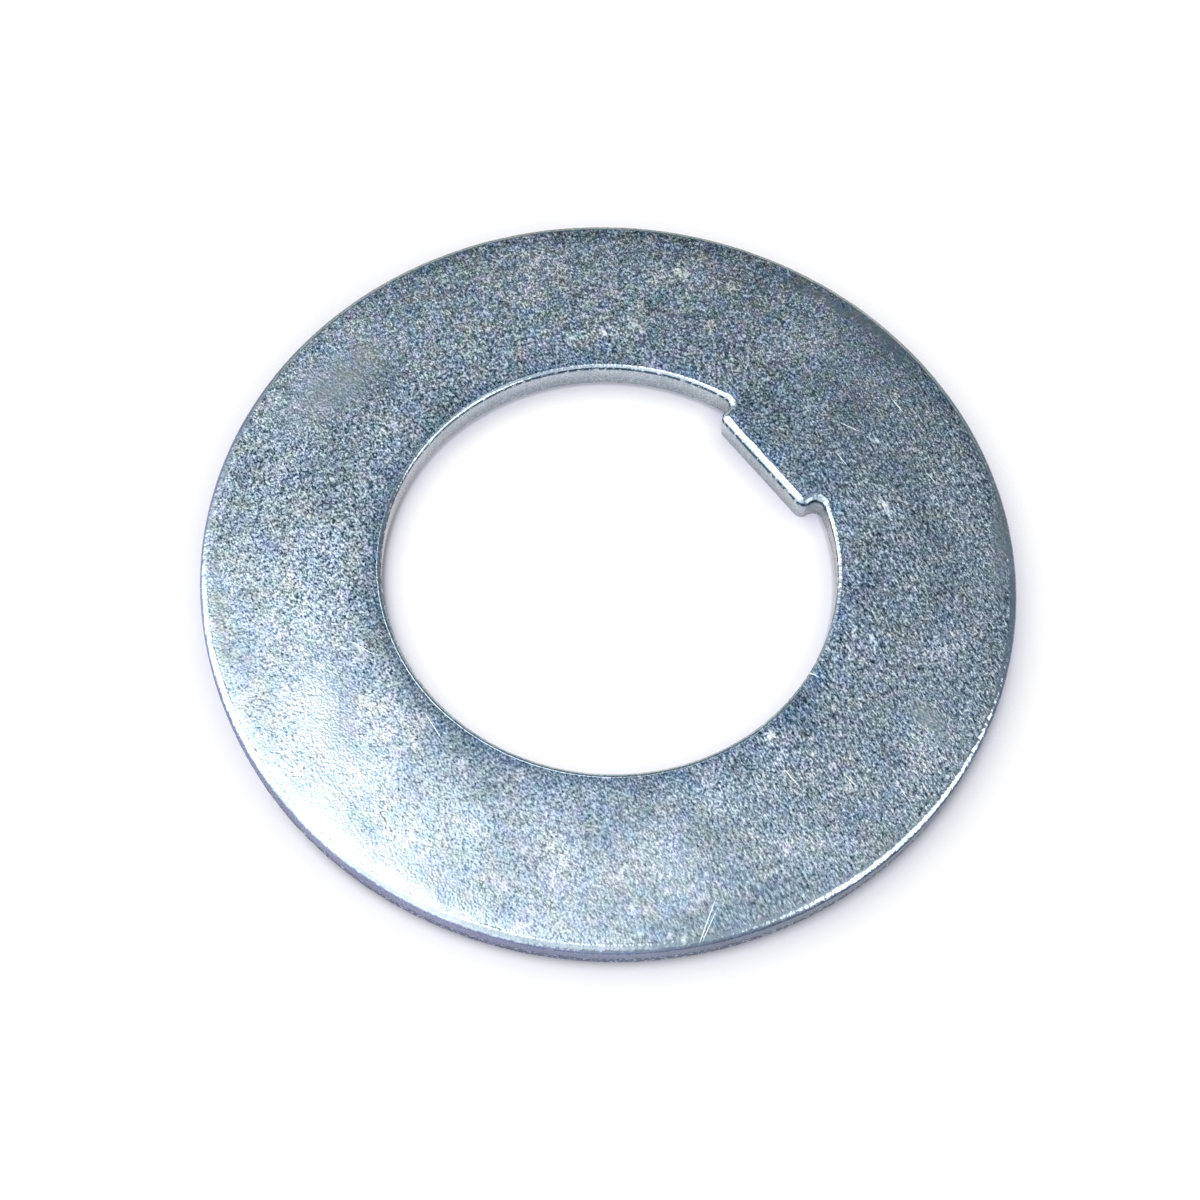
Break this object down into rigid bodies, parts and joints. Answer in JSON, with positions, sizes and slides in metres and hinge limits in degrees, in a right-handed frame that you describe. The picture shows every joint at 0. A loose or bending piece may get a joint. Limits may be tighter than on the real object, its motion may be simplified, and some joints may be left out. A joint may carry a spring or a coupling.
{
  "type": "keyed washer",
  "caption": "Flat round spindle washer of zinc-plated sheet steel, with a square key tang reaching into its bore and rounded upper edges from stamping.",
  "frame": {"origin": "axis of the bore, on the plane of the flat underside", "axes": "+Z along the bore from the underside to the upper face with the rounded edges; +Y from the bore's axis to the middle of the tang"},
  "size_m": [0.0572, 0.0572, 0.0023],
  "materials": {
    "zinc_plated_steel": "satin zinc plating, blue-grey and finely grained, worn by handling"
  },
  "bodies": {
    "root": {"washer": "zinc_plated_steel"}
  },
  "joints": []
}
